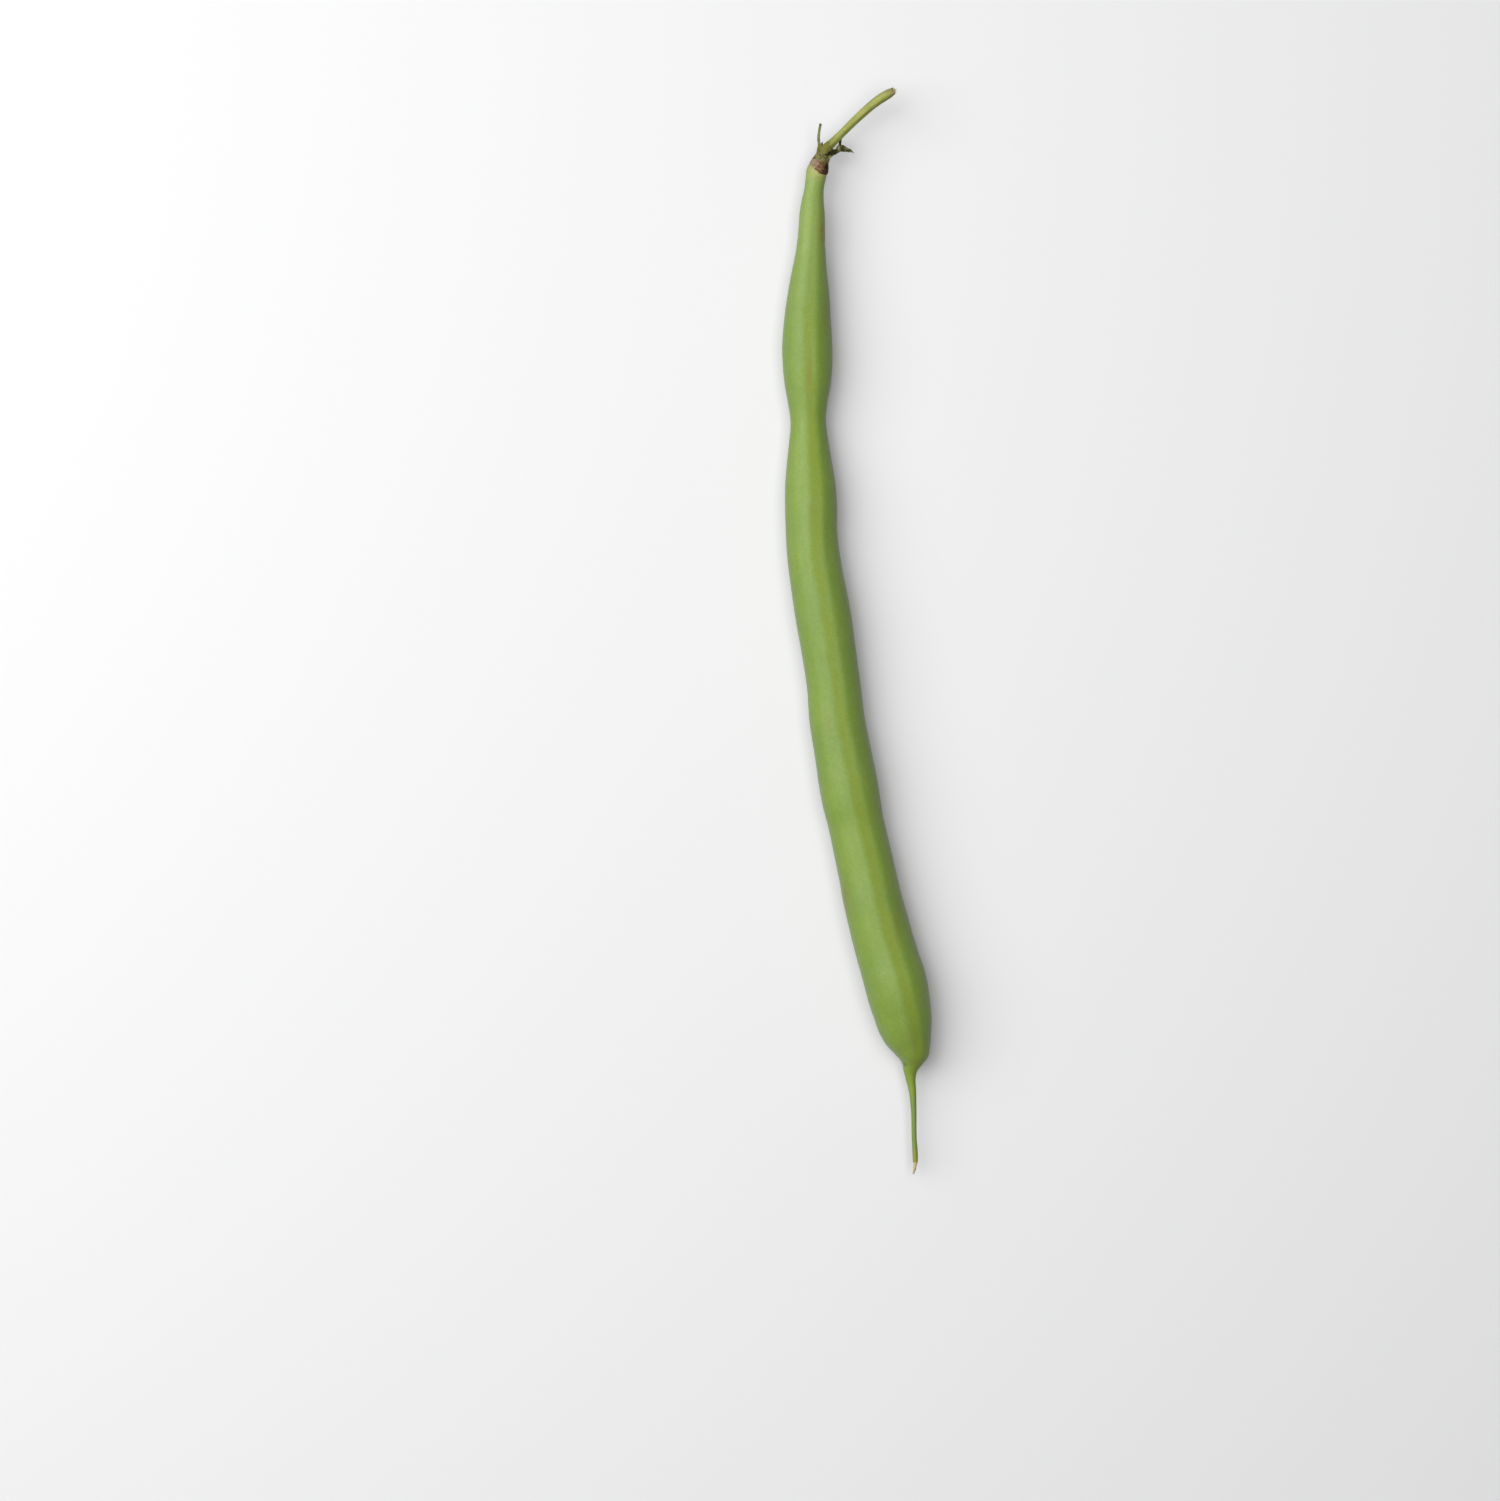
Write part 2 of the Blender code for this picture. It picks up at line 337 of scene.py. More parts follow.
class Material:
    """A Principled material and short ways to build its nodes."""

    def __init__(self, name):
        self.material = bpy.data.materials.new(name)
        self.material.use_nodes = True
        self.tree = self.material.node_tree
        self.shader = self.tree.nodes["Principled BSDF"]

    def set(self, **sockets):
        """Fixed values of the shader's sockets, with spaces written as underscores."""
        for name, value in sockets.items():
            self.shader.inputs[name.replace("_", " ")].default_value = value
        return self

    def node(self, kind, inputs=(), **settings):
        """A node with its settings, and its inputs set or linked by name or number."""
        made = self.tree.nodes.new(kind)
        for name, value in settings.items():
            setattr(made, name, value)
        for key, value in dict(inputs).items():
            socket = made.inputs[key]
            if isinstance(value, bpy.types.NodeSocket):
                self.tree.links.new(value, socket)
            else:
                socket.default_value = value
        return made

    def join(self, value, socket):
        """Link a value to one of the shader's sockets."""
        self.tree.links.new(value, self.shader.inputs[socket])

    def place(self):
        """The point on the piece, in metres in its own frame."""
        return self.node("ShaderNodeTexCoord").outputs["Object"]

    def read(self, name):
        """A number kept at the mesh's points."""
        return self.node("ShaderNodeAttribute", attribute_name=name).outputs["Fac"]

    def noise(self, size, detail=2.0, vector=None, roughness=0.5):
        """Noise with lumps of a size in metres, or in the vector's own unit."""
        vector = vector or self.place()
        inputs = {"Vector": vector, "Scale": 1.0 / size, "Detail": detail, "Roughness": roughness}
        return self.node("ShaderNodeTexNoise", inputs).outputs["Fac"]

    def math(self, operation, first, second=0.0):
        """Arithmetic on two numbers."""
        return self.node("ShaderNodeMath", {0: first, 1: second}, operation=operation).outputs[0]

    def spread(self, value, low, high, to_low=0.0, to_high=1.0):
        """A value mapped smoothly from one range to another."""
        inputs = {"Value": value, "From Min": low, "From Max": high, "To Min": to_low, "To Max": to_high}
        node = self.node("ShaderNodeMapRange", inputs, interpolation_type="SMOOTHSTEP")
        return node.outputs["Result"]

    def mix(self, factor, first, second, blend="MIX"):
        """One colour over another, by a factor."""
        node = self.node("ShaderNodeMix", data_type="RGBA", blend_type=blend, clamp_result=True)
        for socket, value in ((0, factor), (6, first), (7, second)):
            if isinstance(value, bpy.types.NodeSocket):
                self.tree.links.new(value, node.inputs[socket])
            else:
                node.inputs[socket].default_value = (*value, 1.0) if isinstance(value, tuple) else value
        return node.outputs[2]

    def bump(self, height, distance, strength=1.0, below=None):
        """The surface's normal tilted by a height, over an earlier bump."""
        inputs = {"Height": height, "Distance": distance, "Strength": strength}
        if below is not None:
            inputs["Normal"] = below
        return self.node("ShaderNodeBump", inputs).outputs["Normal"]

    def long_vector(self, stretch):
        """A place on a sweep's skin whose length is drawn out by a factor, in millimetres."""
        around = self.read("around")
        along = self.math("DIVIDE", self.read("along"), stretch)
        sine, cosine = self.math("SINE", around), self.math("COSINE", around)
        return self.node("ShaderNodeCombineXYZ", {0: sine, 1: cosine, 2: along}).outputs[0]

    def cross_vector(self):
        """A place on a sweep's skin that changes quickly along it and slowly round it, in millimetres."""
        around = self.read("around")
        sine, cosine = self.math("SINE", around), self.math("COSINE", around)
        return self.node("ShaderNodeCombineXYZ", {0: sine, 1: cosine, 2: self.read("along")}).outputs[0]


def pod_relief(along, around, points, halves):
    """The pod's sutures, the swellings over its seeds, and its fine unevenness."""
    place = points[:, :, 1].mean(axis=1)
    suture = np.radians(np.interp(place, *zip(*sorted(SUTURE))))
    half = halves[:, :1]
    full = np.clip(half / 3.4, 0.0, 1.0)
    height = np.zeros(points.shape[:2])
    for turn, share in ((0.0, 1.0), (math.pi, LOWER_SUTURE_SHARE)):
        off = turned(around[None, :] - suture[:, None] - turn) * half
        ridges = bell(np.abs(off) - SUTURE_RIDGE_PLACE * full, SUTURE_RIDGE_WIDTH)
        height += share * full * (SUTURE_RIDGE * ridges - SUTURE_GROOVE * bell(off, SUTURE_HALF_WIDTH))
    flank = np.sin(around[None, :] - suture[:, None]) ** 2
    for middle, swell in SEEDS:
        height += swell * bell(place - middle, SEED_LENGTH)[:, None] * flank
    height += 0.035 * full * lumps(points, 7.0, 1) + 0.008 * full * lumps(points, 1.3, 2)
    wrinkled = bell(place - 59.0, 6.0) + 0.5 * bell(place - 30.0, 4.0) + 0.25
    across = points * (0.35, 1.6, 0.35)
    height += 0.012 * wrinkled[:, None] * lumps(across, 1.0, 3)
    return height


def make_pod():
    """The pod's skin with its beak."""
    line = []
    for x, y, width, underside in POD_LINE:
        depth = POD_DEPTH * width
        line.append((x, y, underside + depth / 2 - POD_SINK, width, depth))
    pod = sweep("pod_skin", line, POD_SPACING, POD_SEGMENTS, pod_relief, (0.95, 0.1), FRAME_SMOOTHING)
    mesh = pod.data
    for vertex in mesh.vertices:
        vertex.co.z = max(vertex.co.z, 0.0)
    points = coordinates(mesh)
    around = np.zeros(len(points), np.float32)
    mesh.attributes["around"].data.foreach_get("value", around)
    suture = np.radians(np.interp(points[:, 1], *zip(*sorted(SUTURE))))
    wide = np.interp(points[:, 1], *zip(*sorted((row[1], row[2]) for row in POD_LINE)))
    off = turned(around - suture) * wide / 2
    under = turned(around - suture - math.pi) * wide / 2
    set_attribute(mesh, "suture", off)
    set_attribute(mesh, "under_suture", under)
    above = points[:, 2] > 2.0
    rub = np.zeros(len(points))
    for x, y, half_width, half_length, strength in RUBS:
        near = bell(points[:, 0] - x, half_width) * bell(points[:, 1] - y, half_length)
        rub = np.maximum(rub, strength * near * above)
    set_attribute(mesh, "rub", rub)
    set_attribute(mesh, "cream", spots(points, CREAM) * above)
    x, y, size = SCAR
    set_attribute(mesh, "scar", bell(np.hypot(points[:, 0] - x, points[:, 1] - y), size) * above)
    pod.data.materials.append(pod_material())
    return pod


def pod_material():
    """Green skin: bluish on its sides, yellower along the suture, paler at the neck, finely grained."""
    skin = Material("pod_skin")
    along = skin.read("along")
    blotches = skin.spread(skin.noise(9 * MM, 3.0), 0.35, 0.65)
    colour = skin.mix(blotches, (0.190, 0.300, 0.046), (0.215, 0.325, 0.044))
    clouds = skin.spread(skin.noise(1.6 * MM, 4.0, None, 0.6), 0.30, 0.70, 0.0, 0.35)
    colour = skin.mix(clouds, colour, (0.235, 0.340, 0.062))
    streaks = skin.spread(skin.noise(0.22, 3.0, skin.long_vector(14.0)), 0.38, 0.66)
    colour = skin.mix(skin.math("MULTIPLY", streaks, 0.25), colour, (0.165, 0.275, 0.026))
    off = skin.math("ABSOLUTE", skin.read("suture"))
    wavering = skin.math("ADD", off, skin.spread(skin.noise(2.5 * MM, 2.0), 0.3, 0.7, -0.25, 0.25))
    stripe = skin.spread(wavering, 0.05, 1.25, 1.0, 0.0)
    strong = skin.math("MULTIPLY", stripe, skin.spread(along, 12.0, 26.0, 0.15, 0.70))
    colour = skin.mix(strong, colour, (0.225, 0.300, 0.016))
    under = skin.spread(skin.math("ABSOLUTE", skin.read("under_suture")), 0.2, 1.2, 0.45, 0.0)
    colour = skin.mix(under, colour, (0.230, 0.300, 0.018))
    neck = skin.spread(along, 4.0, 24.0, 0.55, 0.0)
    colour = skin.mix(neck, colour, (0.270, 0.375, 0.090))
    collar = skin.spread(along, 0.8, 2.6, 0.6, 0.0)
    colour = skin.mix(collar, colour, (0.360, 0.380, 0.090))
    colour = skin.mix(skin.math("MULTIPLY", skin.read("cream"), 0.75), colour, (0.520, 0.450, 0.220))
    fine = skin.noise(0.30 * MM, 2.0, None, 0.55)
    grain = skin.spread(fine, 0.2, 0.8, 0.93, 1.07)
    shade = skin.node("ShaderNodeCombineColor", {0: grain, 1: grain, 2: grain}).outputs[0]
    colour = skin.mix(1.0, colour, shade, "MULTIPLY")
    patchy = skin.spread(skin.noise(0.7 * MM, 3.0), 0.3, 0.7, 0.35, 1.0)
    rub = skin.math("MULTIPLY", skin.read("rub"), patchy)
    colour = skin.mix(rub, colour, (0.260, 0.175, 0.050))
    beak = skin.spread(along, 133.0, 136.0)
    colour = skin.mix(skin.math("MULTIPLY", beak, 0.5), colour, (0.150, 0.240, 0.050))
    tip = skin.spread(along, 141.0, 143.5, 0.0, 0.8)
    colour = skin.mix(tip, colour, (0.300, 0.280, 0.030))
    colour = skin.mix(skin.math("MULTIPLY", skin.read("scar"), 0.85), colour, (0.030, 0.025, 0.008))
    skin.join(colour, "Base Color")
    gloss = skin.spread(skin.noise(0.5 * MM, 3.0), 0.3, 0.7, 0.42, 0.54)
    skin.join(skin.math("ADD", gloss, skin.math("MULTIPLY", stripe, 0.12)), "Roughness")
    pebbles = skin.bump(skin.noise(0.24 * MM, 3.0, None, 0.6), 0.022 * MM)
    wrinkles = skin.bump(skin.noise(0.20, 2.0, skin.cross_vector()), 0.010 * MM, 1.0, pebbles)
    fibres = skin.bump(skin.noise(0.10, 2.0, skin.long_vector(20.0)), 0.015 * MM, 0.6, wrinkles)
    skin.join(fibres, "Normal")
    skin.set(IOR=1.45, Subsurface_Weight=0.12)
    skin.set(Subsurface_Radius=(0.6, 0.9, 0.25), Subsurface_Scale=0.8 * MM)
    skin.set(Sheen_Weight=0.25, Sheen_Roughness=0.5, Sheen_Tint=(0.95, 1.0, 0.95, 1.0))
    return skin.material


# The small pieces' lines: x, y, z, width and depth
STYLE_LINE = (
    (8.38, -75.95, 2.74, 0.66, 0.60),
    (8.35, -76.35, 2.74, 0.46, 0.42),
    (8.28, -76.90, 2.74, 0.40, 0.36),
    (8.20, -77.25, 2.75, 0.30, 0.28),
    (8.10, -77.60, 2.76, 0.22, 0.22),
)
CUP_LINE = (
    (-5.88, 65.22, 3.70, 2.98, 2.88),
    (-5.56, 66.08, 3.75, 3.10, 3.00),
    (-5.39, 66.55, 3.78, 2.86, 2.78),
    (-5.20, 67.03, 3.82, 2.52, 2.46),
    (-4.99, 67.44, 3.86, 2.20, 2.16),
    (-4.80, 67.82, 3.90, 2.04, 2.00),
    (-4.60, 68.24, 3.93, 1.90, 1.84),
    (-4.42, 68.70, 3.96, 1.74, 1.66),
    (-4.22, 69.06, 4.00, 1.50, 1.46),
    (-3.96, 69.38, 4.02, 1.30, 1.28),
    (-3.62, 69.72, 4.04, 1.08, 1.06),
)
RIM_START = 0.92              # how far along the cup's line its rim lies, and how the rim slants round it
RIM_RISE = 0.16
RIM_TOP_DIP = 0.66
RIM_UNDER_DIP = 0.20
RIM_RIGHT_DIP = 0.41
BAND_WIDTH = 1.15             # the corky band's upper edge, above the rim's middle
CUP_RADIUS = 1.2
LIP_SHARE = 0.93              # the rim's lip and the cup's inner floor, as shares of the cup's own sections
FLOOR_SHARE = 0.60
FLOOR_RING = 8
LEFT_FOLD_LINE = (
    (-6.30, 67.16, 4.30, 0.30, 0.30),
    (-6.06, 67.58, 4.40, 0.40, 0.36),
    (-5.74, 68.02, 4.38, 0.46, 0.40),
    (-5.56, 68.50, 4.30, 0.46, 0.42),
    (-5.44, 69.06, 4.22, 0.50, 0.44),
    (-5.36, 69.50, 4.20, 0.50, 0.42),
)
NUB_LINE = (
    (-5.20, 69.00, 4.24, 0.50, 0.44),
    (-5.06, 69.44, 4.30, 0.36, 0.34),
    (-4.97, 69.72, 4.34, 0.20, 0.20),
)
RIGHT_FOLD_LINE = (
    (-4.46, 67.10, 4.46, 0.36, 0.32),
    (-4.10, 67.56, 4.42, 0.50, 0.42),
    (-3.80, 67.96, 4.26, 0.66, 0.50),
    (-3.44, 68.30, 4.06, 0.80, 0.52),
    (-3.06, 68.48, 3.92, 0.72, 0.46),
)
STALK_LINE = (
    (-4.62, 68.30, 3.98, 1.40, 1.36),
    (-4.30, 68.86, 3.99, 1.36, 1.34),
    (-3.92, 69.34, 4.00, 1.28, 1.26),
    (-3.42, 69.84, 4.04, 1.20, 1.18),
    (-2.79, 70.47, 4.12, 1.12, 1.10),
    (-1.64, 71.59, 4.32, 1.12, 1.10),
    (0.43, 73.57, 4.80, 1.22, 1.18),
    (2.57, 75.34, 5.34, 1.33, 1.28),
    (3.60, 76.02, 5.58, 1.36, 1.32),
    (4.30, 76.42, 5.74, 1.34, 1.30),
    (4.80, 76.70, 5.84, 1.22, 1.20),
    (5.04, 76.84, 5.88, 1.08, 1.08),
)
LEFT_BRACT_LINE = (
    (-5.22, 68.60, 4.20, 0.50, 0.40),
    (-5.34, 69.20, 4.20, 0.48, 0.36),
    (-5.44, 69.80, 4.20, 0.42, 0.32),
    (-5.49, 70.40, 4.22, 0.42, 0.30),
    (-5.45, 71.00, 4.28, 0.40, 0.30),
    (-5.36, 71.60, 4.38, 0.38, 0.28),
    (-5.28, 72.05, 4.50, 0.38, 0.28),
    (-5.21, 72.36, 4.60, 0.38, 0.26),
)
BRACT_FOOT_LINE = (
    (-3.90, 68.06, 4.02, 0.66, 0.56),
    (-3.40, 68.40, 3.96, 0.84, 0.54),
    (-2.94, 68.55, 3.90, 0.68, 0.46),
    (-2.60, 68.74, 3.86, 0.72, 0.36),
)
BRACT_LOBE_LINE = (
    (-2.86, 68.66, 3.88, 0.56, 0.40),
    (-2.43, 68.95, 3.86, 1.08, 0.34),
    (-2.04, 68.94, 3.84, 1.00, 0.32),
    (-1.71, 68.84, 3.82, 0.80, 0.30),
    (-1.29, 68.74, 3.80, 0.62, 0.28),
    (-1.00, 68.64, 3.80, 0.50, 0.24),
    (-0.72, 68.48, 3.80, 0.28, 0.18),
    (-0.43, 68.29, 3.80, 0.10, 0.10),
)
BRACT_SPUR_LINE = (
    (-2.46, 69.05, 3.88, 0.54, 0.32),
    (-2.44, 69.50, 3.92, 0.40, 0.30),
    (-2.40, 69.85, 3.98, 0.34, 0.28),
    (-2.36, 70.22, 4.06, 0.34, 0.26),
)
TEETH = 11                    # ragged shreds round the stalk's torn end
TOOTH_LENGTH = 0.34

# The sizes of the cells in which the pieces grown from several shapes are remade
CALYX_VOXEL = 0.045
LEFT_BRACT_VOXEL = 0.032
RIGHT_BRACT_VOXEL = 0.030
STALK_VOXEL = 0.05


def ring_stack(line, spacing, segments, start=None):
    """Rings of points along a line of x, y, z, width and depth, from a start that may differ round it."""
    length, rows = even_rows(line, spacing)
    _, side, out = section_axes(rows[:, :3], 1)
    around = np.linspace(-math.pi, math.pi, segments, endpoint=False)
    first = np.zeros(segments) if start is None else start(around)
    share = np.linspace(0.0, 1.0, len(length))[:, None]
    reach = first[None, :] + share * (length[-1] - first[None, :])
    columns = np.column_stack((rows, side, out))
    spot = np.stack([np.interp(reach, length, column) for column in columns.T], axis=-1)
    across = np.sin(around)[None, :, None] * spot[:, :, 5:8] * spot[:, :, 3:4] / 2
    rise = np.cos(around)[None, :, None] * spot[:, :, 8:11] * spot[:, :, 4:5] / 2
    return spot[:, :, :3] + across + rise, spot[:, :, :3]


def cup_rim(around):
    """How far along the cup's line its rim lies at each angle round it."""
    dip = np.where(np.cos(around) > 0.0, RIM_TOP_DIP, RIM_UNDER_DIP)
    return RIM_START + RIM_RISE - dip * np.cos(around) + RIM_RIGHT_DIP * np.sin(around)


def grown_together(name, parts, voxel, iterations=4):
    """One smooth skin round several closed shapes that overlap, still in millimetres."""
    body = bmesh.new()
    for part in parts:
        body.from_mesh(part.data)
        bpy.data.objects.remove(part, do_unlink=True)
    mesh = bpy.data.meshes.new(name)
    body.to_mesh(mesh)
    body.free()
    mesh.transform(Matrix.Scale(1 / MM, 4))
    piece = bpy.data.objects.new(name, mesh)
    bpy.context.scene.collection.objects.link(piece)
    remesh = piece.modifiers.new("skin", "REMESH")
    remesh.mode = "VOXEL"
    remesh.voxel_size = voxel
    smooth = piece.modifiers.new("smooth", "SMOOTH")
    smooth.factor = 0.5
    smooth.iterations = iterations
    apply_modifiers(piece)
    piece.data.transform(Matrix.Scale(MM, 4))
    piece.data.name = name
    return piece


def apply_modifiers(piece):
    """Turn a piece's modifiers into its mesh."""
    bpy.context.view_layer.update()
    evaluated = piece.evaluated_get(bpy.context.evaluated_depsgraph_get())
    mesh = bpy.data.meshes.new_from_object(evaluated)
    piece.modifiers.clear()
    piece.data = mesh


def follow_line(piece, line):
    """Keep at each point of a piece how far along its line it lies, and at what angle round it."""
    points = coordinates(piece.data)
    length, rows = even_rows(line, 0.04)
    centres = rows[:, :3]
    tangent, side, out = section_axes(centres, 9)
    near = np.array([np.argmin(((centres - p) ** 2).sum(axis=1)) for p in points])
    off = points - centres[near]
    beyond = (off * tangent[near]).sum(axis=1)
    across, rise = (off * side[near]).sum(axis=1), (off * out[near]).sum(axis=1)
    along, around = length[near] + beyond, np.arctan2(across, rise)
    set_attribute(piece.data, "along", along)
    set_attribute(piece.data, "around", around)
    return points, along, around


def raise_skin(piece, points, height):
    """Move a piece's points out along its normals by a height in millimetres."""
    normals = np.zeros(len(points) * 3, np.float32)
    piece.data.vertices.foreach_get("normal", normals)
    moved = points + normals.reshape(-1, 3) * height[:, None]
    piece.data.vertices.foreach_set("co", (moved * MM).astype(np.float32).ravel())
    piece.data.update()
    piece.data.shade_smooth()


def spots(points, places):
    """How strongly each point lies in a spot, from rows of x, y, half width, half length and strength."""
    found = np.zeros(len(points))
    for x, y, half_width, half_length, strength in places:
        near = bell(points[:, 0] - x, half_width) * bell(points[:, 1] - y, half_length)
        found = np.maximum(found, strength * near)
    return np.clip(found + 0.25 * found * lumps(points, 0.2, 61), 0.0, 1.0)


def dry_relief(size, height, ribs, rib_height, seed):
    """Wrinkles and ribs of dried tissue."""
    def relief(along, around, points, halves):
        wrinkles = lumps(points, size, seed) + 0.5 * lumps(points, size / 2.2, seed + 1)
        waves = np.cos(around[None, :] * ribs + 1.5 * lumps(points, 1.5, seed + 2))
        return height * wrinkles + rib_height * waves
    return relief


def dry_wrinkles(along, around, radius, size, height, seed):
    """Wrinkles that run along a dried piece, over fine lumps."""
    across, rise = np.sin(around) * radius, np.cos(around) * radius
    place = np.column_stack((across / size, rise / size, along / (4 * size)))
    fine = np.column_stack((across, rise, along))
    wrinkles = lumps(place, 1.0, seed) + 0.6 * lumps(place, 0.45, seed + 1)
    return height * (wrinkles + 0.4 * lumps(fine, 0.2, seed + 2))


def dry_material(name, light, dark, size=0.45):
    """Dead plant tissue: two tones in blotches and streaks, rough and wrinkled."""
    skin = Material(name)
    blotches = skin.noise(size * MM, 4.0, None, 0.6)
    streaks = skin.noise(0.35, 3.0, skin.long_vector(2.5))
    tone = skin.spread(skin.math("ADD", blotches, streaks), 0.75, 1.25)
    skin.join(skin.spread(skin.noise(0.3 * MM), 0.3, 0.7, 0.62, 0.82), "Roughness")
    skin.join(skin.bump(skin.noise(0.10 * MM, 3.0), 0.02 * MM), "Normal")
    skin.set(Specular_IOR_Level=0.20)
    return skin, skin.mix(tone, dark, light)


def make_style():
    """The withered style that ends the beak."""
    style = sweep("style_tip", STYLE_LINE, 0.04, 24, dry_relief(0.25, 0.015, 3, 0.01, 11), (0.05, 0.1))
    skin, colour = dry_material("style_tip", (0.72, 0.60, 0.34), (0.42, 0.30, 0.10))
    skin.join(colour, "Base Color")
    style.data.materials.append(skin.material)
    return style


def make_calyx():
    """The dry cup round the pod's shoulder and the stalk's foot, with its corky band."""
    outer, centres = ring_stack(CUP_LINE, 0.05, 120, cup_rim)
    lip = centres[0] + (outer[0] - centres[0]) * LIP_SHARE
    inside = centres[FLOOR_RING] + (outer[FLOOR_RING] - centres[FLOOR_RING]) * FLOOR_SHARE
    rings = np.concatenate((inside[None], lip[None], outer))
    shell = skin_mesh("cup", rings, np.zeros(len(rings)), np.zeros(outer.shape[1]))
    parts = [shell]
    for line in (LEFT_FOLD_LINE, NUB_LINE, RIGHT_FOLD_LINE):
        parts.append(sweep("fold", line, 0.06, 20, None, (0.10, 0.10)))
    calyx = grown_together("calyx_cup", parts, CALYX_VOXEL)
    points, along, around = follow_line(calyx, CUP_LINE)
    above = along - RIM_START
    cork = bell(above - 0.2, 0.9)
    fading = np.clip((3.9 - above) / 1.2, 0.15, 1.0)
    height = dry_wrinkles(along, around, CUP_RADIUS, 0.5, 0.05, 21)
    height += 0.035 * cork * lumps(points, 0.28, 24)
    raise_skin(calyx, points, height * fading)
    set_attribute(calyx.data, "above", above)
    # How far round to the right each point lies, which sets the painted shade on the band's right side
    set_attribute(calyx.data, "right", -np.sin(around))
    # Dark spots that are partly dark tissue and partly painted shade in the folds
    set_attribute(calyx.data, "dark_tissue_and_shade", spots(points, CALYX_DARK_AND_SHADE))
    set_attribute(calyx.data, "pale", spots(points, CALYX_PALE))
    calyx.data.materials.append(calyx_material())
    return calyx


# Dark and pale spots of the calyx: x, y, half width, half length and strength. The dark spots are partly
# dark tissue and partly painted shade in the folds where the stalk, the bracts and the cup's right side
# meet.
CALYX_DARK_AND_SHADE = (
    (-3.30, 68.36, 0.50, 0.36, 1.00),
    (-3.80, 68.16, 0.46, 0.34, 1.00),
    (-4.30, 67.94, 0.42, 0.26, 0.70),
    (-5.30, 67.90, 0.18, 0.30, 0.60),
    (-6.20, 67.52, 0.50, 0.08, 0.70),
    (-4.98, 69.62, 0.22, 0.22, 0.90),
    (-4.30, 66.20, 0.30, 0.70, 0.85),
)
CALYX_PALE = (
    (-3.86, 67.50, 0.16, 0.34, 0.80),
    (-5.84, 68.00, 0.10, 0.40, 0.70),
    (-5.10, 67.20, 0.40, 0.16, 0.50),
)


def calyx_material():
    """A corky band, mauve on the left and brown on the right, where painted shade darkens it to near black,
    under olive tissue.
    """
    skin, olive = dry_material("calyx_cup", (0.210, 0.205, 0.060), (0.090, 0.082, 0.018))
    above = skin.read("above")
    upper = skin.spread(above, 1.8, 3.4, 0.0, 0.8)
    colour = skin.mix(upper, olive, (0.190, 0.195, 0.032))
    uneven = skin.spread(skin.noise(0.4 * MM, 3.0), 0.3, 0.7, -0.35, 0.35)
    across = skin.math("ADD", skin.read("right"), uneven)
    mottled = skin.spread(skin.noise(0.22 * MM, 3.0, None, 0.6), 0.38, 0.62)
    mauve = skin.mix(mottled, (0.235, 0.165, 0.100), (0.400, 0.300, 0.200))
    # The band's brown on its right side is darkened as painted shade, for the side away from the key light
    shaded_brown = skin.mix(mottled, (0.110, 0.052, 0.020), (0.240, 0.135, 0.060))
    # Mauve turns to brown and then near black towards the right: partly the band's own brown, partly
    # painted shade
    cork = skin.mix(skin.spread(across, -0.55, 0.15), mauve, shaded_brown)
    cork = skin.mix(skin.spread(across, 0.25, 0.90, 0.0, 0.90), cork, (0.060, 0.022, 0.009))
    edge = skin.math("ADD", above, skin.spread(skin.noise(0.5 * MM, 4.0), 0.3, 0.7, -0.22, 0.22))
    band = skin.spread(edge, BAND_WIDTH - 0.25, BAND_WIDTH + 0.25, 1.0, 0.0)
    colour = skin.mix(band, colour, cork)
    colour = skin.mix(skin.math("MULTIPLY", skin.read("pale"), 0.8), colour, (0.340, 0.320, 0.190))
    # Near black in the dark spots: partly dark tissue, partly painted shade in the folds
    colour = skin.mix(skin.spread(skin.read("dark_tissue_and_shade"), 0.12, 0.70, 0.0, 0.96), colour, (0.016, 0.012, 0.002))
    skin.join(colour, "Base Color")
    return skin.material


def make_left_bract():
    """The thin bract that stands up on the calyx's left, with a dark blunt tip."""
    parts = [sweep("blade", LEFT_BRACT_LINE, 0.05, 24, None, (0.02, 0.06))]
    bract = grown_together("left_bract_blade", parts, LEFT_BRACT_VOXEL, 2)
    points, along, around = follow_line(bract, LEFT_BRACT_LINE)
    channel = -0.05 * bell(around - 0.2, 0.7)
    raise_skin(bract, points, dry_wrinkles(along, around, 0.25, 0.22, 0.018, 31) + channel)
    skin, colour = dry_material("left_bract_blade", (0.260, 0.260, 0.110), (0.120, 0.115, 0.035), 0.3)
    tip = skin.spread(skin.read("along"), 3.45, 3.85, 0.0, 0.85)
    colour = skin.mix(tip, colour, (0.060, 0.045, 0.018))
    foot = skin.spread(skin.read("along"), 0.4, 1.4, 0.6, 0.0)
    colour = skin.mix(foot, colour, (0.090, 0.075, 0.020))
    skin.join(colour, "Base Color")
    bract.data.materials.append(skin.material)
    return bract


# Dark and pale spots of the right bract: x, y, half width, half length and strength. The dark spots are
# partly dark tissue and partly painted shade, deepest in the fold between the bract's foot and the stalk.
RIGHT_BRACT_DARK_AND_SHADE = (
    (-3.50, 68.34, 0.60, 0.36, 1.00),
    (-2.95, 68.62, 0.34, 0.18, 0.80),
    (-2.38, 69.80, 0.30, 0.46, 1.00),
    (-2.02, 68.90, 0.30, 0.44, 0.90),
    (-1.30, 68.62, 0.36, 0.14, 0.80),
)
RIGHT_BRACT_PALE = (
    (-2.60, 68.98, 0.09, 0.34, 0.90),
    (-1.50, 69.00, 0.45, 0.09, 0.45),
    (-0.60, 68.40, 0.20, 0.14, 0.80),
)


